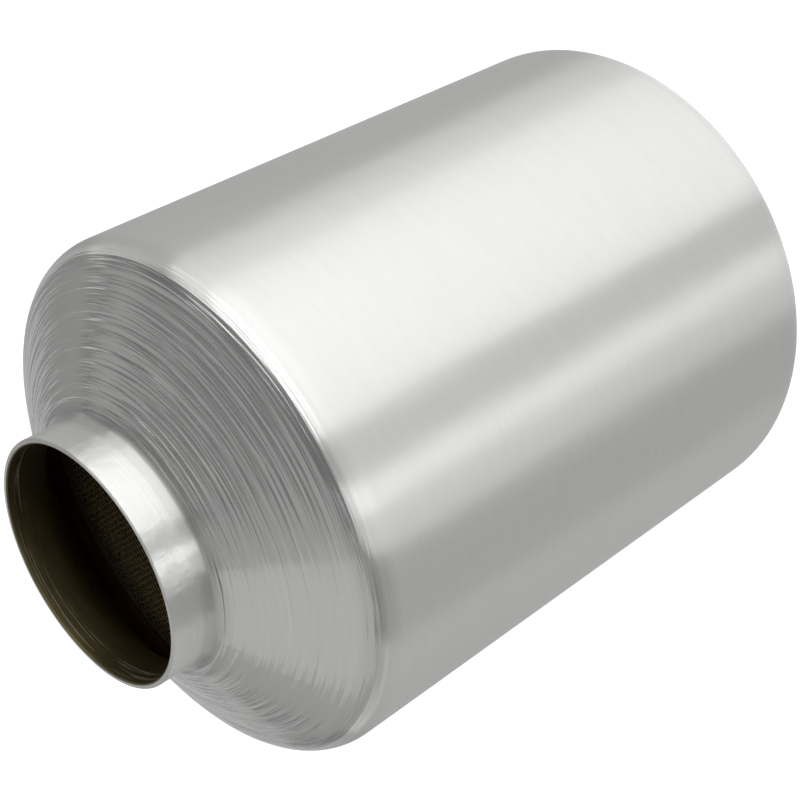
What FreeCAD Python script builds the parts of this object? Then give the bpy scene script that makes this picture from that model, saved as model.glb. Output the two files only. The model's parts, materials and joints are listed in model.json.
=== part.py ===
import FreeCAD, Part
import math
import os

# A spun catalytic converter: one stainless tube, its two ends spun down to necks that slip
# over the exhaust pipe, round a ceramic honeycomb brick wrapped in a mounting mat.
# Millimetres and degrees. The origin is the centre of the outlet rim, and +Z runs along the
# axis from the outlet up to the inlet. Both ends are alike.

os.makedirs("parts", exist_ok=True)

# Exhaust pipe and necks
PIPE_DIAMETER = 50.8          # outside of the 2 in pipe that each neck slips over
PIPE_CLEARANCE = 0.4          # radial slip clearance of the neck on the pipe
NECK_LENGTH = 7.5             # straight part of each neck, which holds the pipe
NECK_BEND_RADIUS = 3.0        # outside radius where a neck flares into its cone

# Shell
SHELL_WALL = 1.2
CONE_ANGLE = 62.0             # between the cone's wall and the axis
SHOULDER_RADIUS = 7.6         # outside radius between a cone and the straight body

# Honeycomb brick
BRICK_DIAMETER = 101.6
BRICK_LENGTH = 127.0
BRICK_REACH = 2.5             # how far each brick face stands past the end of the straight body
BRICK_SKIN = 1.0
CHANNEL_PITCH = 5.08          # one modelled channel stands for four by four real cells
CHANNEL_WEB = 0.66
SMALLEST_CHANNEL = 0.35       # least part of a whole channel that stays open beside the skin

# Mounting mat and the wire-mesh rings that guard its ends
MAT_THICKNESS = 4.95
MAT_FIT = 0.1                 # radial gap at each face of the mat and of the mesh rings
MAT_TONGUE_LENGTH = 25.0
MAT_SEAM_GAP = 0.5
RING_WIDTH = 6.4
RING_SETBACK = 5.0            # from a brick face down to the ring behind it
RING_EDGE_BEVEL = 1.4

# Worked out from the sizes above
neck_inner_radius = PIPE_DIAMETER / 2 + PIPE_CLEARANCE
neck_outer_radius = neck_inner_radius + SHELL_WALL
brick_radius = BRICK_DIAMETER / 2
mat_inner_radius = brick_radius + MAT_FIT
mat_outer_radius = mat_inner_radius + MAT_THICKNESS
body_inner_radius = mat_outer_radius + MAT_FIT
body_outer_radius = body_inner_radius + SHELL_WALL

cone_lean = math.radians(CONE_ANGLE)
neck_bend_rise = NECK_BEND_RADIUS * math.sin(cone_lean)
neck_bend_flare = NECK_BEND_RADIUS * (1 - math.cos(cone_lean))
shoulder_rise = SHOULDER_RADIUS * math.sin(cone_lean)
shoulder_flare = SHOULDER_RADIUS * (1 - math.cos(cone_lean))
cone_flare = body_outer_radius - neck_outer_radius - neck_bend_flare - shoulder_flare
cone_rise = cone_flare / math.tan(cone_lean)
end_length = NECK_LENGTH + neck_bend_rise + cone_rise + shoulder_rise

body_length = BRICK_LENGTH - 2 * BRICK_REACH
overall_length = body_length + 2 * end_length
brick_bottom = end_length - BRICK_REACH
brick_top = brick_bottom + BRICK_LENGTH
mat_bottom = brick_bottom + RING_SETBACK + RING_WIDTH
mat_top = brick_top - RING_SETBACK - RING_WIDTH


def point(radius, height):
    """A point of a section, in the plane through the axis and +X."""
    return FreeCAD.Vector(radius, 0, height)


def line(start, end):
    return Part.LineSegment(start, end).toShape()


def arc(centre, radius, start_angle, end_angle):
    """An arc about a section point, with angles from +X towards +Z."""
    points = []
    for angle in (start_angle, (start_angle + end_angle) / 2, end_angle):
        step = point(radius * math.cos(angle), radius * math.sin(angle))
        points.append(centre + step)
    return Part.Arc(points[0], points[1], points[2]).toShape()


def end_of(edge, index):
    return edge.Vertexes[index].Point


def end_skin(depth):
    """One end of the shell's section from rim to body, on the face `depth` under the outside."""
    neck_radius = neck_outer_radius - depth
    bend_centre = point(neck_outer_radius + NECK_BEND_RADIUS, NECK_LENGTH)
    shoulder_centre = point(body_outer_radius - SHOULDER_RADIUS, end_length)
    bend = arc(bend_centre, NECK_BEND_RADIUS + depth, math.pi, math.pi - cone_lean)
    shoulder = arc(shoulder_centre, SHOULDER_RADIUS - depth, -cone_lean, 0)
    neck = line(point(neck_radius, 0), point(neck_radius, NECK_LENGTH))
    cone = line(end_of(bend, -1), end_of(shoulder, 0))
    return [neck, bend, cone, shoulder]


def far_end(edges):
    """The same edges at the other end of the shell."""
    middle = point(0, overall_length / 2)
    return [edge.mirror(middle, FreeCAD.Vector(0, 0, 1)) for edge in edges]


def skin(depth):
    """The whole length of one face of the shell's section, with its straight body."""
    near = end_skin(depth)
    radius = body_outer_radius - depth
    body = line(point(radius, end_length), point(radius, end_length + body_length))
    return near + [body] + far_end(near)


def rim(height):
    return line(point(neck_inner_radius, height), point(neck_outer_radius, height))


def revolve(edges):
    """Turn a closed section about the axis."""
    wire = Part.Wire(Part.__sortEdges__(edges))
    return Part.Face(wire).revolve(FreeCAD.Vector(0, 0, 0), FreeCAD.Vector(0, 0, 1), 360)


def shell():
    """The can: one tube, spun down at both ends, with an even wall."""
    section = skin(0) + skin(SHELL_WALL) + [rim(0), rim(overall_length)]
    return revolve(section)


def square(centre_x, centre_y, side):
    half = side / 2
    corners = []
    for sign_x, sign_y in ((-1, -1), (1, -1), (1, 1), (-1, 1), (-1, -1)):
        corner = FreeCAD.Vector(centre_x + sign_x * half, centre_y + sign_y * half, brick_bottom)
        corners.append(corner)
    return Part.makePolygon(corners)


def channel_outline(centre_x, centre_y, skin_disc):
    """The outline of one channel, trimmed to the brick's skin, or None where too little is left."""
    side = CHANNEL_PITCH - CHANNEL_WEB
    outline = square(centre_x, centre_y, side)
    inner_radius = brick_radius - BRICK_SKIN
    farthest = math.hypot(abs(centre_x) + side / 2, abs(centre_y) + side / 2)
    if farthest <= inner_radius:
        return outline
    trimmed = Part.Face(outline).common(skin_disc)
    if trimmed.Area < SMALLEST_CHANNEL * side * side:
        return None
    return trimmed.Faces[0].OuterWire


def brick():
    """The honeycomb: square through channels in rows along X and Y, inside a closed skin."""
    base = FreeCAD.Vector(0, 0, brick_bottom)
    axis = FreeCAD.Vector(0, 0, 1)
    rim_wire = Part.Wire(Part.makeCircle(brick_radius, base, axis))
    skin_wire = Part.Wire(Part.makeCircle(brick_radius - BRICK_SKIN, base, axis))
    skin_disc = Part.Face(skin_wire)
    reach = math.ceil(brick_radius / CHANNEL_PITCH)
    outlines = [rim_wire]
    for row in range(-reach, reach + 1):
        for column in range(-reach, reach + 1):
            outline = channel_outline(column * CHANNEL_PITCH, row * CHANNEL_PITCH, skin_disc)
            if outline is not None:
                outlines.append(outline)
    return Part.makeFace(outlines, "Part::FaceMakerBullseye").extrude(axis * BRICK_LENGTH)


def tube(inner_radius, outer_radius, bottom, height):
    base = FreeCAD.Vector(0, 0, bottom)
    bore = Part.makeCylinder(inner_radius, height, base)
    return Part.makeCylinder(outer_radius, height, base).cut(bore)


def seam_slot(angle, bottom, height):
    """A slot through the mat along the axis, at an angle round it."""
    slot = Part.makeBox(body_outer_radius, MAT_SEAM_GAP, height,
                        FreeCAD.Vector(0, -MAT_SEAM_GAP / 2, bottom))
    slot.rotate(FreeCAD.Vector(0, 0, 0), FreeCAD.Vector(0, 0, 1), angle)
    return slot


def seam_step(start_angle, end_angle, middle):
    """A slot through the mat round the axis, between two angles."""
    base = FreeCAD.Vector(0, 0, middle - MAT_SEAM_GAP / 2)
    step = Part.makeCylinder(body_outer_radius, MAT_SEAM_GAP, base,
                             FreeCAD.Vector(0, 0, 1), end_angle - start_angle)
    step.rotate(FreeCAD.Vector(0, 0, 0), FreeCAD.Vector(0, 0, 1), start_angle)
    return step


def mat():
    """The mounting mat: one strip wrapped round the brick, its ends met in a tongue and groove."""
    height = mat_top - mat_bottom
    wrap = tube(mat_inner_radius, mat_outer_radius, mat_bottom, height)
    tongue_bottom = mat_bottom + height / 3
    tongue_top = mat_top - height / 3
    root_angle = 90.0
    tip_angle = root_angle + math.degrees(MAT_TONGUE_LENGTH / mat_outer_radius)
    seam = [
        seam_slot(root_angle, mat_bottom, height / 3),
        seam_slot(tip_angle, tongue_bottom, height / 3),
        seam_slot(root_angle, tongue_top, height / 3),
        seam_step(root_angle, tip_angle, tongue_bottom),
        seam_step(root_angle, tip_angle, tongue_top),
    ]
    return wrap.cut(seam)


def mesh_ring(bottom):
    """A knitted wire rope pressed into the mat's annulus, which squeezes its corners flat."""
    blank = tube(mat_inner_radius, mat_outer_radius, bottom, RING_WIDTH)
    round_edges = [edge for edge in blank.Edges if edge.Curve.TypeId == "Part::GeomCircle"]
    return blank.makeChamfer(RING_EDGE_BEVEL, round_edges)


def write(name, shape):
    volume = round(shape.Volume / 1000, 2)
    print(name, "valid", shape.isValid(), "solids", len(shape.Solids), "cm3", volume)
    shape.exportStep("parts/" + name + ".step")


write("shell", shell())
write("substrate", brick())
write("support_mat", mat())
write("inlet_seal_ring", mesh_ring(mat_top))
write("outlet_seal_ring", mesh_ring(mat_bottom - RING_WIDTH))
print("overall length", round(overall_length, 2), "body diameter", round(2 * body_outer_radius, 2))
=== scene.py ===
import json
import math

import bmesh
import bpy
import numpy as np
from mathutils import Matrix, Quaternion, Vector
from mathutils.geometry import delaunay_2d_cdt

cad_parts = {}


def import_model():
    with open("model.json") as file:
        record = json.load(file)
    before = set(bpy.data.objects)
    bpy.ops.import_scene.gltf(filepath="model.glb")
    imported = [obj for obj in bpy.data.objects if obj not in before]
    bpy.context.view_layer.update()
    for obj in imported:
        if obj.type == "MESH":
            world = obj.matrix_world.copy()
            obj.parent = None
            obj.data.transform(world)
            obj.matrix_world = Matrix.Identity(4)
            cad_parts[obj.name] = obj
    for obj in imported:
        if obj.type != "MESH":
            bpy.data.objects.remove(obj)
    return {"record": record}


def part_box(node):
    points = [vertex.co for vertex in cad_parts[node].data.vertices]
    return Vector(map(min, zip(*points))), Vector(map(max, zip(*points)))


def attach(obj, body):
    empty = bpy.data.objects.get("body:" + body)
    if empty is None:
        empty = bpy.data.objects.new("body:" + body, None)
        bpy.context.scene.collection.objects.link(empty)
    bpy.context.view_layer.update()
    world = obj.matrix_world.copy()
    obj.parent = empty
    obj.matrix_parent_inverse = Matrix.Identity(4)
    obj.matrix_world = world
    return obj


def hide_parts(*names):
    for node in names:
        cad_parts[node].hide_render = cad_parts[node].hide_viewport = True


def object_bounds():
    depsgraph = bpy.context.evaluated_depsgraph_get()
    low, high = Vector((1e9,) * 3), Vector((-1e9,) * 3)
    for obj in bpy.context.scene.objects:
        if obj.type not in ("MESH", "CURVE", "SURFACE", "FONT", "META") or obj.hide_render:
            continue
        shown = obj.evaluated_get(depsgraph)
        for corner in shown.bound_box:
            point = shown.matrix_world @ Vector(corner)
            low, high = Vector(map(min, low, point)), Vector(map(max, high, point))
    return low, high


# The looks of the converter: its spun stainless can, the honeycomb seen through the necks, and
# the mat and wire rings behind it. Metres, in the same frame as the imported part.

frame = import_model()
cad_low, cad_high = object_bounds()
MM = 0.001

# Sizes that the frame gives
bore = frame["record"]["mounts"][0]["dims"]
neck_inner_radius = bore["r_mm"] * MM
neck_length = bore["length_mm"] * MM
total_height = cad_high.z
body_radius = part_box("shell")[1].x
brick_low, brick_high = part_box("substrate")
brick_radius = brick_high.x

# The can's own sizes
WALL = 1.2 * MM
NECK_BEND_RADIUS = 3.0 * MM
SHOULDER_RADIUS = 7.6 * MM
CONE_LEAN = math.radians(62.0)
LIP_RADIUS = 0.35 * MM
SEGMENTS = 144
OUTSIDE_SPACING = 0.16 * MM
INSIDE_SPACING = 1.4 * MM
BODY_SPACING = 4.0 * MM

# The brick's own sizes
CELL_PITCH = 1.27 * MM
CELL_WEB = 0.2 * MM
BRICK_SKIN = 0.9 * MM
# How far down each cell the painted shade reaches
CELL_SHADE_DEPTH = 0.25 * MM
# What delaunay_2d_cdt is asked for: triangles inside the outlines, and points merged within this
INSIDE_OUTLINES = 1
MERGED_WITHIN = 1e-6

# The roller's grooves round each cone, in mm: width, depth, reach round the axis in radians, count
SPIN_MARKS = (
    (0.90, 0.025, 1.2, 8),
    (0.42, 0.048, 0.7, 150),
    (0.24, 0.044, 0.5, 560),
)
SPIN_SEED = 7
# How far past the neck the grooves begin and before the straight body they end, and the lengths
# over which they rise to their full depth and fall from it
SPIN_START = 1.0 * MM
SPIN_RISE = 1.6 * MM
SPIN_STOP = 4.0 * MM
SPIN_FALL = 2.4 * MM

# The roller's lines, in mm along the section: back from the bend's end, and on from the shoulder's start
BEND_LINES = (1.6, 1.2, 0.8, 0.4, 0.0, -0.5)
SHOULDER_LINES = (2.1, 2.5, 2.9, 3.4, 3.9)
ROLLER_WIDTH = 0.20 * MM
ROLLER_DEPTH = 0.026 * MM
ROLLER_WANDER = 0.05 * MM
ROLLER_SEED = 11

neck_outer_radius = neck_inner_radius + WALL
axis_middle = total_height / 2


# ---------------------------------------------------------------- small helpers

def new_object(name, vertices, faces, smooth=True):
    mesh = bpy.data.meshes.new(name)
    mesh.from_pydata([tuple(v) for v in vertices], [], faces)
    mesh.polygons.foreach_set("use_smooth", [smooth] * len(mesh.polygons))
    mesh.update()
    piece = bpy.data.objects.new(name, mesh)
    bpy.context.scene.collection.objects.link(piece)
    return piece


def set_normals_outward(piece):
    builder = bmesh.new()
    builder.from_mesh(piece.data)
    bmesh.ops.recalc_face_normals(builder, faces=builder.faces)
    builder.to_mesh(piece.data)
    builder.free()


def socket(node, name, value):
    node.inputs[name].default_value = value


class Nodes:
    """A short way to write a material's node tree."""

    def __init__(self, name):
        self.material = bpy.data.materials.new(name)
        self.material.use_nodes = True
        self.tree = self.material.node_tree
        self.shader = self.tree.nodes["Principled BSDF"]

    def add(self, kind, **settings):
        node = self.tree.nodes.new(kind)
        for key, value in settings.items():
            setattr(node, key, value)
        return node

    def link(self, output, input_socket):
        self.tree.links.new(output, input_socket)

    def math(self, operation, a, b=0.0):
        node = self.add("ShaderNodeMath", operation=operation)
        for index, value in enumerate((a, b)):
            if isinstance(value, (int, float)):
                node.inputs[index].default_value = value
            else:
                self.link(value, node.inputs[index])
        return node.outputs[0]

    def ramp(self, value, stops):
        node = self.add("ShaderNodeValToRGB")
        elements = node.color_ramp.elements
        while len(elements) < len(stops):
            elements.new(0.5)
        for element, (position, colour) in zip(elements, stops):
            element.position = position
            element.color = (*colour, 1.0)
        self.link(value, node.inputs["Fac"])
        return node.outputs["Color"]

    def scaled(self, colour, factor):
        node = self.add("ShaderNodeVectorMath", operation="SCALE")
        self.link(colour, node.inputs[0])
        self.link(factor, node.inputs["Scale"])
        return node.outputs[0]

    def range(self, value, from_low, from_high, to_low, to_high):
        node = self.add("ShaderNodeMapRange")
        self.link(value, node.inputs["Value"])
        socket(node, "From Min", from_low)
        socket(node, "From Max", from_high)
        socket(node, "To Min", to_low)
        socket(node, "To Max", to_high)
        return node.outputs["Result"]


def turned_coordinates(nodes, round_scale, across_scale):
    """A 4D noise place, fast across the turning marks and slow round the axis, then radius and height."""
    place = nodes.add("ShaderNodeTexCoord").outputs["Object"]
    parts = nodes.add("ShaderNodeSeparateXYZ")
    nodes.link(place, parts.inputs[0])
    x, y, z = parts.outputs
    squares = nodes.math("ADD", nodes.math("MULTIPLY", x, x), nodes.math("MULTIPLY", y, y))
    radius = nodes.math("SQRT", squares)
    joined = nodes.add("ShaderNodeCombineXYZ")
    nodes.link(nodes.math("MULTIPLY", nodes.math("DIVIDE", x, radius), round_scale), joined.inputs[0])
    nodes.link(nodes.math("MULTIPLY", nodes.math("DIVIDE", y, radius), round_scale), joined.inputs[1])
    nodes.link(nodes.math("MULTIPLY", z, across_scale), joined.inputs[2])
    return joined.outputs[0], nodes.math("MULTIPLY", radius, across_scale), radius, z


def turned_noise(nodes, round_scale, across_scale, detail=2.0):
    """Noise drawn out round the axis, like the marks of turning."""
    vector, fourth, _, _ = turned_coordinates(nodes, round_scale, across_scale)
    noise = nodes.add("ShaderNodeTexNoise", noise_dimensions="4D")
    nodes.link(vector, noise.inputs["Vector"])
    nodes.link(fourth, noise.inputs["W"])
    socket(noise, "Scale", 1.0)
    socket(noise, "Detail", detail)
    return noise.outputs["Fac"]


def plain_noise(nodes, scale, detail=3.0):
    """Noise that is the same in every direction."""
    place = nodes.add("ShaderNodeTexCoord").outputs["Object"]
    noise = nodes.add("ShaderNodeTexNoise")
    nodes.link(place, noise.inputs["Vector"])
    socket(noise, "Scale", scale)
    socket(noise, "Detail", detail)
    return noise.outputs["Fac"]


def bumped(nodes, height, strength, distance, under=None):
    """The normal over a height, on top of the relief `under` it."""
    bump = nodes.add("ShaderNodeBump")
    if under is not None:
        nodes.link(under, bump.inputs["Normal"])
    nodes.link(height, bump.inputs["Height"])
    socket(bump, "Strength", strength)
    socket(bump, "Distance", distance)
    return bump.outputs["Normal"]


# ---------------------------------------------------------------- materials

def from_rims(nodes):
    """How far along the axis a point lies from the nearer rim."""
    _, _, _, z = turned_coordinates(nodes, 1.0, 1.0)
    return nodes.math("MINIMUM", z, nodes.math("SUBTRACT", total_height, z))


def band(nodes, value, start, full, leave, end):
    """1 between `full` and `leave`, falling to 0 at `start` and `end`; all four in millimetres."""
    rise = nodes.range(value, start * MM, full * MM, 0.0, 1.0)
    return nodes.math("MULTIPLY", rise, nodes.range(value, leave * MM, end * MM, 1.0, 0.0))


def steel(nodes, shader, colour, normal, anisotropy, roughness):
    """Stainless whose gloss is drawn out along the axis by fine marks round it."""
    tangent = nodes.add("ShaderNodeTangent", direction_type="RADIAL", axis="Z")
    nodes.link(tangent.outputs[0], shader.inputs["Tangent"])
    nodes.link(colour, shader.inputs["Base Color"])
    nodes.link(normal, shader.inputs["Normal"])
    nodes.link(roughness, shader.inputs["Roughness"])
    socket(shader, "Metallic", 1.0)
    socket(shader, "Specular Tint", (0.6, 0.6, 0.6, 1))
    socket(shader, "Anisotropic", anisotropy)
    socket(shader, "Anisotropic Rotation", 0.25)


def spun_colour(nodes, grain, rim_distance, on_neck):
    """Steel grey with a fine grain, with painted light on the neck and painted shade in the bend and in a
    band on the shoulder.
    """
    neck = neck_length / MM
    body = end_length() / MM
    # Painted shade: the colour is lowered in the bend, where the neck meets the cone, and in a band on the
    # shoulder.
    bend_shade_band = band(nodes, rim_distance, neck - 0.6, neck + 0.8, neck + 2.6, neck + 4.0)
    shoulder_shade_band = band(nodes, rim_distance, body - 7.4, body - 6.2, body - 5.2, body - 4.2)
    sheet = nodes.ramp(grain, [(0.3, (0.455, 0.455, 0.447)), (0.7, (0.471, 0.471, 0.463))])
    # Painted light: the neck's colour is raised so that its highlight comes out brighter.
    neck_painted_light = nodes.math("ADD", 1.0, nodes.math("MULTIPLY", on_neck, 0.06))
    bend_painted_shade = nodes.math("MULTIPLY", bend_shade_band, -0.17)
    painted_shade = nodes.math("ADD", bend_painted_shade, nodes.math("MULTIPLY", shoulder_shade_band, -0.10))
    return nodes.scaled(sheet, nodes.math("ADD", neck_painted_light, painted_shade))


def spun_relief(nodes, spun, on_neck):
    """Soft clouds on the neck, a slow ripple everywhere, and fine turning marks, deep where it is spun."""
    cloud = nodes.math("MULTIPLY", plain_noise(nodes, 330.0, detail=7.0), on_neck)
    clouded = bumped(nodes, cloud, 1.0, 0.16 * MM)
    ripple = bumped(nodes, turned_noise(nodes, 8.0, 60.0, detail=1.0), 1.0, 0.08 * MM, under=clouded)
    fine = turned_noise(nodes, 2.0, 1450.0, detail=2.0)
    on_cone = nodes.range(spun, 0.0, 1.0, 0.06, 1.0)
    worked = nodes.math("MAXIMUM", on_cone, nodes.math("MULTIPLY", on_neck, 0.45))
    return bumped(nodes, nodes.math("MULTIPLY", fine, worked), 1.0, 0.22 * MM, under=ripple)


def spun_stainless():
    """Satin sheet on the neck and body; burnished, with fine turning marks, on the cone."""
    nodes = Nodes("spun_stainless")
    rim_distance = from_rims(nodes)
    neck = neck_length / MM
    body = end_length() / MM
    spun = band(nodes, rim_distance, neck + 1.6, neck + 2.7, body - 5.4, body - 3.2)
    on_neck = nodes.range(rim_distance, neck_length - 1 * MM, neck_length + 2 * MM, 1.0, 0.0)
    grain = turned_noise(nodes, 6.0, 900.0)
    colour = spun_colour(nodes, grain, rim_distance, on_neck)
    normal = spun_relief(nodes, spun, on_neck)
    burnished = nodes.add("ShaderNodeBsdfPrincipled")
    steel(nodes, nodes.shader, colour, normal, 1.0, nodes.range(grain, 0.3, 0.7, 0.405, 0.415))
    steel(nodes, burnished, colour, normal, 0.8, nodes.range(grain, 0.3, 0.7, 0.20, 0.22))
    both = nodes.add("ShaderNodeMixShader")
    nodes.link(spun, both.inputs[0])
    nodes.link(nodes.shader.outputs[0], both.inputs[1])
    nodes.link(burnished.outputs[0], both.inputs[2])
    nodes.link(both.outputs[0], nodes.tree.nodes["Material Output"].inputs["Surface"])
    return nodes.material


def dark_bore():
    """The can's inside: dull dark olive-brown, redder further in, with painted shade darkening it from the
    lip inwards and painted glints on smoother turning marks near the lip.
    """
    nodes = Nodes("dark_bore")
    shader = nodes.shader
    socket(shader, "Metallic", 0.9)
    rim_distance = from_rims(nodes)
    streak = turned_noise(nodes, 3.0, 900.0)
    depth = nodes.range(rim_distance, 0.0, 22 * MM, 0.0, 1.0)
    # Painted shade: the colour darkens from the lip down the bore; further in it turns red-brown.
    tint = nodes.ramp(depth, [(0.0, (0.088, 0.072, 0.032)), (0.45, (0.076, 0.058, 0.025)),
                              (1.0, (0.21, 0.080, 0.035))])
    bore_tone = nodes.scaled(tint, nodes.range(streak, 0.3, 0.7, 0.75, 1.1))
    mark = nodes.range(turned_noise(nodes, 1.3, 2600.0, detail=2.0), 0.58, 0.63, 0.0, 1.0)
    glint = nodes.math("MULTIPLY", mark, band(nodes, rim_distance, 0.8, 1.6, 3.0, 5.5))
    # Painted glints: the colour is lightened along these marks, which are also smoother.
    painted_glint_colour = nodes.ramp(glint, [(0.0, (0.0, 0.0, 0.0)), (1.0, (0.65, 0.60, 0.48))])
    joined = nodes.add("ShaderNodeVectorMath", operation="ADD")
    nodes.link(bore_tone, joined.inputs[0])
    nodes.link(painted_glint_colour, joined.inputs[1])
    nodes.link(joined.outputs[0], shader.inputs["Base Color"])
    nodes.link(nodes.range(glint, 0.0, 1.0, 0.42, 0.2), shader.inputs["Roughness"])
    nodes.link(bumped(nodes, streak, 1.0, 0.03 * MM), shader.inputs["Normal"])
    return nodes.material


def washcoat():
    """Matt washcoat: pale brown on the two faces, with painted shade a hair's breadth down each cell and
    painted shade towards the brick's rim.
    """
    nodes = Nodes("washcoat")
    shader = nodes.shader
    _, _, radius, z = turned_coordinates(nodes, 1.0, 1.0)
    from_faces = nodes.math("MINIMUM", nodes.math("SUBTRACT", z, brick_low.z),
                            nodes.math("SUBTRACT", brick_high.z, z))
    # Painted shade: the cell walls go dark within a hair's breadth of each face.
    depth = nodes.range(from_faces, 0.0, CELL_SHADE_DEPTH, 0.0, 1.0)
    speck = plain_noise(nodes, 900.0)
    tone = nodes.math("ADD", depth, nodes.math("MULTIPLY", nodes.math("SUBTRACT", speck, 0.5), 0.4))
    colour = nodes.ramp(tone, [(0.0, (0.17, 0.120, 0.038)), (0.5, (0.03, 0.021, 0.008)),
                               (1.0, (0.006, 0.004, 0.0015))])
    # Painted shade: darker towards the brick's rim, a little lighter in its middle.
    edge = nodes.range(radius, 0.85 * brick_radius, 0.98 * brick_radius, 1.2, 0.3)
    nodes.link(nodes.scaled(colour, edge), shader.inputs["Base Color"])
    socket(shader, "Roughness", 0.9)
    nodes.link(bumped(nodes, speck, 0.5, 0.05 * MM), shader.inputs["Normal"])
    return nodes.material


def mat_fibre():
    """Pressed alumina fibre: cream, felted, with brown flecks of expanded mica."""
    nodes = Nodes("mat_fibre")
    shader = nodes.shader
    fleck = nodes.add("ShaderNodeTexVoronoi")
    nodes.link(nodes.add("ShaderNodeTexCoord").outputs["Object"], fleck.inputs["Vector"])
    socket(fleck, "Scale", 700.0)
    mica = nodes.ramp(fleck.outputs["Distance"], [(0.12, (0.25, 0.17, 0.09)), (0.3, (0.62, 0.56, 0.44))])
    nodes.link(mica, shader.inputs["Base Color"])
    socket(shader, "Roughness", 0.95)
    fibre = turned_noise(nodes, 60.0, 2500.0, detail=4.0)
    nodes.link(bumped(nodes, fibre, 0.5, 0.3 * MM), shader.inputs["Normal"])
    return nodes.material


def knitted_wire():
    """Stainless wire knitted in loops and pressed: grey wires, with painted shade in the gaps between
    them.
    """
    nodes = Nodes("knitted_wire")
    shader = nodes.shader
    loops = nodes.add("ShaderNodeTexWave", wave_type="BANDS", bands_direction="DIAGONAL")
    nodes.link(nodes.add("ShaderNodeTexCoord").outputs["Object"], loops.inputs["Vector"])
    socket(loops, "Scale", 300.0)
    socket(loops, "Distortion", 8.0)
    wire = loops.outputs["Fac"]
    # The dark end of this ramp is painted shade in the gaps between the wires.
    nodes.link(nodes.ramp(wire, [(0.2, (0.05, 0.045, 0.04)), (0.6, (0.50, 0.48, 0.45))]),
               shader.inputs["Base Color"])
    socket(shader, "Metallic", 1.0)
    socket(shader, "Roughness", 0.4)
    nodes.link(bumped(nodes, wire, 1.0, 0.25 * MM), shader.inputs["Normal"])
    return nodes.material


def dress(node, material):
    """Gives a CAD node that stays in view its finish."""
    for place in bpy.data.objects[node].material_slots:
        place.material = material


# ---------------------------------------------------------------- the can

def line_steps(start, end, normal, spacing):
    """Points along a straight run of the section: radius, height, normal, without the last."""
    count = max(1, round((Vector(end) - Vector(start)).length / spacing))
    share = np.arange(count)[:, None] / count
    points = np.array(start) * (1 - share) + np.array(end) * share
    return np.hstack([points, np.tile(normal, (count, 1))])


def arc_steps(centre, radius, start, end, outward, spacing):
    """Points along an arc of the section, from one angle to another, without the last."""
    count = max(2, round(abs(end - start) * radius / spacing))
    angle = start + (end - start) * np.arange(count) / count
    normal = np.stack([np.cos(angle), np.sin(angle)], 1)
    points = np.array(centre) + radius * normal
    return np.hstack([points, normal * outward])


def end_length():
    """From a rim to the straight body, along the axis."""
    bend_flare = NECK_BEND_RADIUS * (1 - math.cos(CONE_LEAN))
    shoulder_flare = SHOULDER_RADIUS * (1 - math.cos(CONE_LEAN))
    cone_flare = body_radius - neck_outer_radius - bend_flare - shoulder_flare
    bends = (NECK_BEND_RADIUS + SHOULDER_RADIUS) * math.sin(CONE_LEAN)
    return neck_length + bends + cone_flare / math.tan(CONE_LEAN)


def end_section(depth, spacing):
    """One end of the section on the face `depth` under the outside, from the rim to the body."""
    to_outside = 1 if depth == 0 else -1
    bend_centre = (neck_outer_radius + NECK_BEND_RADIUS, neck_length)
    shoulder_centre = (body_radius - SHOULDER_RADIUS, end_length())
    bend = arc_steps(bend_centre, NECK_BEND_RADIUS + depth, math.pi, math.pi - CONE_LEAN,
                     -to_outside, spacing)
    shoulder = arc_steps(shoulder_centre, SHOULDER_RADIUS - depth, -CONE_LEAN, 0,
                         to_outside, spacing)
    neck_radius = neck_outer_radius - depth
    neck = line_steps((neck_radius, LIP_RADIUS), (neck_radius, neck_length),
                      (to_outside, 0), 2 * spacing)
    bend_end = (bend_centre[0] - (NECK_BEND_RADIUS + depth) * math.cos(CONE_LEAN),
                bend_centre[1] + (NECK_BEND_RADIUS + depth) * math.sin(CONE_LEAN))
    cone_normal = (to_outside * math.cos(CONE_LEAN), -to_outside * math.sin(CONE_LEAN))
    cone = line_steps(bend_end, shoulder[0, :2], cone_normal, spacing)
    return np.vstack([neck, bend, cone, shoulder])


def mirrored(section):
    """The same run at the other end of the can, in the opposite order."""
    other = section[::-1].copy()
    other[:, 1] = total_height - other[:, 1]
    other[:, 3] *= -1
    return other


def face_section(depth, spacing):
    """The whole run of the face `depth` under the outside, from rim to rim."""
    near = end_section(depth, spacing)
    radius = body_radius - depth
    side = 1 if depth == 0 else -1
    body = line_steps((radius, end_length()), (radius, total_height - end_length()), (side, 0),
                      BODY_SPACING)
    return np.vstack([near, body, mirrored(near)])


def lip_section(at_inlet):
    """The rounded rim between the outer and the inner face."""
    corner = math.pi / 2
    outer = arc_steps((neck_outer_radius - LIP_RADIUS, LIP_RADIUS), LIP_RADIUS, 0, -corner,
                      1, LIP_RADIUS / 4)
    inner = arc_steps((neck_inner_radius + LIP_RADIUS, LIP_RADIUS), LIP_RADIUS, -corner, -2 * corner,
                      1, LIP_RADIUS / 4)
    lip = np.vstack([outer[1:], inner])
    return mirrored(lip)[::-1] if at_inlet else lip[::-1]


def slant_lengths(section):
    """How far along the section each of its points lies."""
    steps = np.diff(section[:, :2], axis=0, prepend=section[:1, :2])
    return np.cumsum(np.hypot(steps[:, 0], steps[:, 1]))


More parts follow.
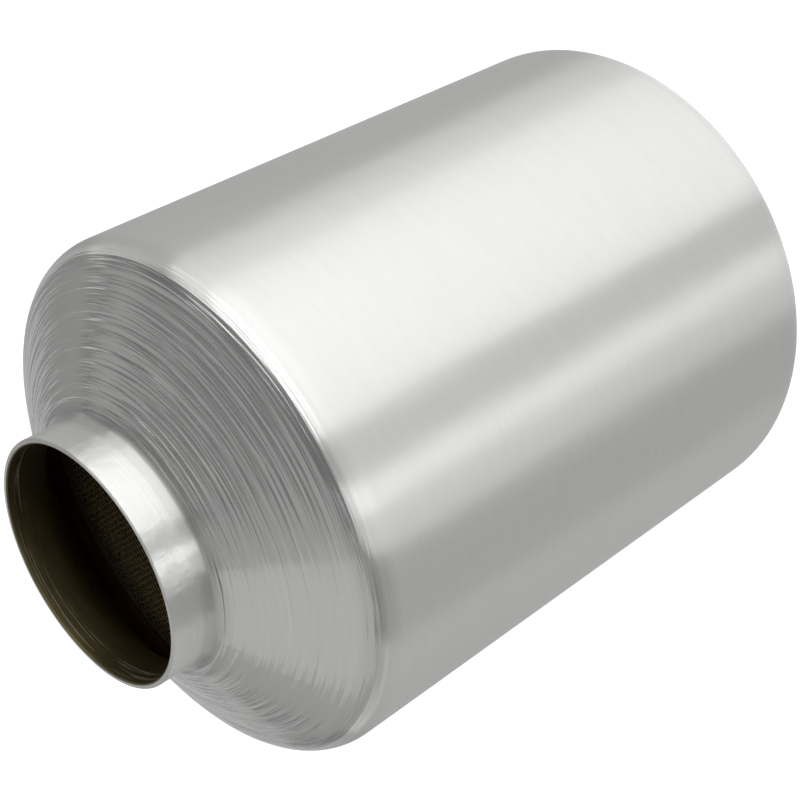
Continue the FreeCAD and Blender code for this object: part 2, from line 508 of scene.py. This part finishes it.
def spin_marks(section, angles):
    """Depth of the spinning grooves, for each point of a section and each angle round the axis."""
    generator = np.random.default_rng(SPIN_SEED)
    slant = slant_lengths(section)
    height = np.zeros((len(section), len(angles)))
    for width, depth, spread, count in SPIN_MARKS:
        for _ in range(count):
            centre = generator.uniform(0, slant[-1])
            middle = generator.uniform(-math.pi, math.pi)
            reach = spread * generator.uniform(0.5, 1.5)
            lead = generator.uniform(-0.6, 0.6) * MM
            wave = generator.uniform(0, 0.12) * MM
            turn = (angles - middle + math.pi) % (2 * math.pi) - math.pi
            path = centre + lead * turn + wave * np.sin(5 * turn + middle)
            offset = (slant[:, None] - path[None, :]) / (width * generator.uniform(0.7, 1.4) * MM)
            fade = np.exp(-(turn / reach) ** 4) * generator.uniform(0.4, 1.0)
            height -= depth * MM * np.exp(-offset ** 2) * fade[None, :]
    return height


def roller_lines(section, angles, places):
    """Fine continuous lines that the roller leaves where it turns in or out of the cone."""
    generator = np.random.default_rng(ROLLER_SEED)
    slant = slant_lengths(section)
    height = np.zeros((len(section), len(angles)))
    for place in places:
        phase = generator.uniform(0, 2 * math.pi)
        path = place + ROLLER_WANDER * np.sin(3 * angles + phase)
        offset = (slant[:, None] - path[None, :]) / ROLLER_WIDTH
        swell = 0.6 + 0.4 * np.sin(4 * angles + 2 * phase)
        height -= ROLLER_DEPTH * np.exp(-offset ** 2) * swell[None, :]
    return height


def end_marks(section, angles, at_far_end):
    """Depth of all the marks on one end of the outside, for each point and each angle."""
    height = section[:, 1]
    rim_distance = np.minimum(height, total_height - height)
    grow = np.clip((rim_distance - neck_length - SPIN_START) / SPIN_RISE, 0, 1)
    fade = np.clip((end_length() - SPIN_STOP - rim_distance) / SPIN_FALL, 0, 1)
    slant = slant_lengths(section)[-1]
    bend_end = neck_length + NECK_BEND_RADIUS * CONE_LEAN
    shoulder_start = slant - SHOULDER_RADIUS * CONE_LEAN
    places = [bend_end - step * MM for step in BEND_LINES]
    places += [shoulder_start + step * MM for step in SHOULDER_LINES]
    if at_far_end:
        places = [slant - place for place in places]
    grooves = spin_marks(section, angles) * (grow * fade)[:, None]
    return grooves + roller_lines(section, angles, places)


def turned_mesh(section, sink, angles):
    """Points and faces of a closed section turned about the axis, each point moved along its normal."""
    radius = section[:, 0:1] + section[:, 2:3] * sink
    height = section[:, 1:2] + section[:, 3:4] * sink
    x = radius * np.cos(angles)
    y = radius * np.sin(angles)
    vertices = np.stack([x, y, np.broadcast_to(height, x.shape)], -1).reshape(-1, 3)
    rings = len(section)
    faces = []
    for ring in range(rings):
        here = ring * SEGMENTS
        there = (ring + 1) % rings * SEGMENTS
        for step in range(SEGMENTS):
            turned = (step + 1) % SEGMENTS
            faces.append((here + step, here + turned, there + turned, there + step))
    return vertices.tolist(), faces


def can():
    """The whole can as one closed mesh, with the grooves of the spinning roller cut into it."""
    outer = face_section(0, OUTSIDE_SPACING)
    inner = face_section(WALL, INSIDE_SPACING)[::-1]
    section = np.vstack([outer, lip_section(True), inner, lip_section(False)])
    angles = np.arange(SEGMENTS) * 2 * math.pi / SEGMENTS
    sink = np.zeros((len(section), SEGMENTS))
    end_count = len(end_section(0, OUTSIDE_SPACING))
    near = slice(0, end_count)
    far = slice(len(outer) - end_count, len(outer))
    sink[near] = end_marks(outer[near], angles, False)
    sink[far] = end_marks(outer[far], angles, True)
    piece = new_object("can", *turned_mesh(section, sink, angles))
    piece.data.materials.append(spun_stainless())
    piece.data.materials.append(dark_bore())
    first_inner = len(outer) + len(lip_section(True)) // 2
    rings = np.arange(len(section))
    is_inner = (rings >= first_inner) & (rings < first_inner + len(inner))
    piece.data.polygons.foreach_set("material_index", np.repeat(is_inner, SEGMENTS).astype(np.int32))
    return piece


# ---------------------------------------------------------------- the honeycomb

def channel_outlines():
    """The square channels that fit whole inside the brick's skin, as corners in order."""
    half_cell = (CELL_PITCH - CELL_WEB) / 2
    reach = int(brick_radius / CELL_PITCH)
    outlines = []
    for row in range(-reach, reach + 1):
        for column in range(-reach, reach + 1):
            x, y = column * CELL_PITCH, row * CELL_PITCH
            if math.hypot(abs(x) + half_cell, abs(y) + half_cell) < brick_radius - BRICK_SKIN:
                outlines.append([(x - half_cell, y - half_cell), (x + half_cell, y - half_cell),
                                 (x + half_cell, y + half_cell), (x - half_cell, y + half_cell)])
    return outlines


def in_one_channel(face):
    """Whether all of a face's corners are corners of one channel, so that it would close it."""
    channels = {(corner - SEGMENTS) // 4 if corner >= SEGMENTS else None for corner in face}
    return len(channels) == 1 and None not in channels


def honeycomb():
    """The brick with every real cell: square through channels inside a closed skin."""
    angles = np.arange(SEGMENTS) * 2 * math.pi / SEGMENTS
    skin = [(brick_radius * math.cos(angle), brick_radius * math.sin(angle)) for angle in angles]
    points = []
    edges = []
    for outline in [skin] + channel_outlines():
        first = len(points)
        points += outline
        steps = range(len(outline))
        edges += [(first + step, first + (step + 1) % len(outline)) for step in steps]
    flat = [Vector(point) / MM for point in points]
    triangles = delaunay_2d_cdt(flat, edges, [], INSIDE_OUTLINES, MERGED_WITHIN)[2]
    webs = [face for face in triangles if not in_one_channel(face)]
    count = len(points)
    vertices = [(x, y, level) for level in (brick_low.z, brick_high.z) for x, y in points]
    faces = [face[::-1] for face in webs]
    faces += [[corner + count for corner in face] for face in webs]
    faces += [(start, end, end + count, start + count) for start, end in edges]
    piece = new_object("honeycomb", vertices, faces, smooth=False)
    set_normals_outward(piece)
    piece.data.materials.append(washcoat())
    return piece


# ---------------------------------------------------------------- studio

CAMERA_PLACE = Vector((0, -306.3 * MM, 315.92 * MM))
CAMERA_LOOK = Vector((-0.0058, 0.8145, -0.5802))
CAMERA_ROLL = math.radians(-119.64)
CAMERA_LENS = 76.5

LAMP_DISTANCE = 1.2
# Upright lamps round the part: azimuths in degrees, then the radiance of the low tier, near the
# floor, and of the tier above it
FRONT_PANELS = (
    ("key", (-2, 68), 5.8, 2.6),
    ("key_edge", (68, 88), 3.4, 1.3),
    ("dip", (-22, -2), 2.5, 0.5),
    ("strip", (-33, -22), 8.0, 1.3),
    ("strip_edge", (-50, -33), 3.3, 0.8),
)
LOW_TIER = (-2, 13)
HIGH_TIER = (13, 46)
# The same further round, each with its own elevations and one radiance
BACK_PANELS = (
    ("left_low", (-135, -85), (-2, 10), 0.9),
    ("left_side", (-160, -85), (10, 33), 0.38),
    ("left_back", (-162, -75), (33, 66), 0.24),
    ("back", (170, 200), (15, 50), 0.5),
    ("right_wall", (88, 130), (0, 25), 0.8),
    ("right_back", (126, 205), (-2, 30), 0.30),
)
# A light table on the floor before the part, in millimetres along X and Y, and its radiance
TABLE_X = (-4, 420)
TABLE_Y = (-460, -66)
TABLE_HEIGHT = 2 * MM
TABLE_RADIANCE = 0.5
# A level lamp over the part: its height over it, its size, how far from the axis its near edge
# lies, and how far it is turned
CEILING_HEIGHT = 1.2
CEILING_LENGTH = 4.0
CEILING_DEPTH = 2.0
CEILING_EDGE = 0.02
CEILING_TURN = math.radians(32)
CEILING_RADIANCE = 0.36
# The floor's half width, its grey, and the white that the eye is given on top: `NEAR` among the
# lamps and `FAR` past them, with the change between the two distances
FLOOR_REACH = 12.0
FLOOR_GREY = 0.55
FLOOR_WHITE_NEAR = 0.66
FLOOR_WHITE_FAR = 0.88
FLOOR_CHANGE = (0.9, 1.15)
WORLD_GREY = 0.28


def camera():
    data = bpy.data.cameras.new("camera")
    data.lens = CAMERA_LENS
    data.sensor_width = 36
    data.clip_start = 0.01
    eye = bpy.data.objects.new("camera", data)
    eye.rotation_mode = "QUATERNION"
    eye.location = CAMERA_PLACE
    eye.rotation_quaternion = CAMERA_LOOK.to_track_quat("-Z", "Y") @ Quaternion((0, 0, 1), CAMERA_ROLL)
    bpy.context.scene.collection.objects.link(eye)
    bpy.context.scene.camera = eye


def panel(name, azimuths, elevations, radiance):
    """An upright lamp between two azimuths (0 is the camera's side, 90 is +X) and two elevations."""
    turn = math.radians(sum(azimuths) / 2)
    width = 2 * LAMP_DISTANCE * math.tan(math.radians(azimuths[1] - azimuths[0]) / 2)
    bottom, top = [LAMP_DISTANCE * math.tan(math.radians(elevation)) for elevation in elevations]
    data = bpy.data.lights.new(name, "AREA")
    data.shape = "RECTANGLE"
    data.size = width
    data.size_y = top - bottom
    data.energy = radiance * math.pi * width * (top - bottom)
    lamp = bpy.data.objects.new(name, data)
    towards = Vector((math.sin(turn), -math.cos(turn), 0))
    lamp.location = towards * LAMP_DISTANCE + Vector((0, 0, axis_middle + (bottom + top) / 2))
    lamp.rotation_mode = "QUATERNION"
    lamp.rotation_quaternion = (-towards).to_track_quat("-Z", "Y")
    lamp.visible_camera = False
    bpy.context.scene.collection.objects.link(lamp)


def light_table():
    """A lamp that lies on the floor, facing up, for the body's broad highlight."""
    data = bpy.data.lights.new("table", "AREA")
    data.shape = "RECTANGLE"
    data.size = (TABLE_X[1] - TABLE_X[0]) * MM
    data.size_y = (TABLE_Y[1] - TABLE_Y[0]) * MM
    data.energy = TABLE_RADIANCE * math.pi * data.size * data.size_y
    lamp = bpy.data.objects.new("table", data)
    lamp.location = (sum(TABLE_X) / 2 * MM, sum(TABLE_Y) / 2 * MM, TABLE_HEIGHT)
    lamp.rotation_euler = (math.pi, 0, 0)
    lamp.visible_camera = False
    bpy.context.scene.collection.objects.link(lamp)


def ceiling():
    """A level soft light over the part, towards the far left; its near edge runs over the cone."""
    data = bpy.data.lights.new("ceiling", "AREA")
    data.shape = "RECTANGLE"
    data.size = CEILING_LENGTH
    data.size_y = CEILING_DEPTH
    data.energy = CEILING_RADIANCE * math.pi * CEILING_LENGTH * CEILING_DEPTH
    inward = Vector((-math.sin(CEILING_TURN), math.cos(CEILING_TURN), 0))
    lamp = bpy.data.objects.new("ceiling", data)
    over_part = Vector((0, 0, total_height + CEILING_HEIGHT))
    lamp.location = over_part + inward * (CEILING_EDGE + CEILING_DEPTH / 2)
    lamp.rotation_euler = (0, 0, CEILING_TURN)
    lamp.visible_camera = False
    bpy.context.scene.collection.objects.link(lamp)


def to_the_eye(nodes):
    """1 for camera, glossy and transmitted rays, and 0 for the diffuse ones that carry light about."""
    path = nodes.add("ShaderNodeLightPath").outputs
    seen = nodes.math("MAXIMUM", path["Is Camera Ray"], path["Is Glossy Ray"])
    return nodes.math("MAXIMUM", seen, path["Is Transmission Ray"])


def floor():
    corners = [(-FLOOR_REACH, -FLOOR_REACH, 0), (FLOOR_REACH, -FLOOR_REACH, 0),
               (FLOOR_REACH, FLOOR_REACH, 0), (-FLOOR_REACH, FLOOR_REACH, 0)]
    piece = new_object("floor", corners, [(0, 1, 2, 3)])
    nodes = Nodes("floor")
    socket(nodes.shader, "Base Color", (FLOOR_GREY, FLOOR_GREY, FLOOR_GREY, 1))
    socket(nodes.shader, "Roughness", 0.9)
    socket(nodes.shader, "Specular IOR Level", 0.0)
    socket(nodes.shader, "Emission Color", (1, 1, 1, 1))
    # Past the lamps, which face inwards, the floor is as white as it is among them.
    _, _, distance, _ = turned_coordinates(nodes, 1.0, 1.0)
    white = nodes.range(distance, *FLOOR_CHANGE, FLOOR_WHITE_NEAR, FLOOR_WHITE_FAR)
    nodes.link(nodes.math("MULTIPLY", to_the_eye(nodes), white), nodes.shader.inputs["Emission Strength"])
    piece.data.materials.append(nodes.material)


def world():
    scene_world = bpy.data.worlds.new("world")
    scene_world.use_nodes = True
    background = scene_world.node_tree.nodes["Background"]
    background.inputs["Color"].default_value = (WORLD_GREY, WORLD_GREY, WORLD_GREY, 1)
    bpy.context.scene.world = scene_world


# ---------------------------------------------------------------- the scene

shell_piece = can()
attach(shell_piece, "root")
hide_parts("shell")

brick_piece = honeycomb()
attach(brick_piece, "root")
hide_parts("substrate")

dress("support_mat", mat_fibre())
wire = knitted_wire()
dress("inlet_seal_ring", wire)
dress("outlet_seal_ring", wire)

camera()
floor()
world()
for name, azimuths, low_radiance, high_radiance in FRONT_PANELS:
    panel(name + "_low", azimuths, LOW_TIER, low_radiance)
    panel(name + "_high", azimuths, HIGH_TIER, high_radiance)
for name, azimuths, elevations, radiance in BACK_PANELS:
    panel(name, azimuths, elevations, radiance)
light_table()
ceiling()

bpy.context.scene.view_settings.view_transform = "Standard"
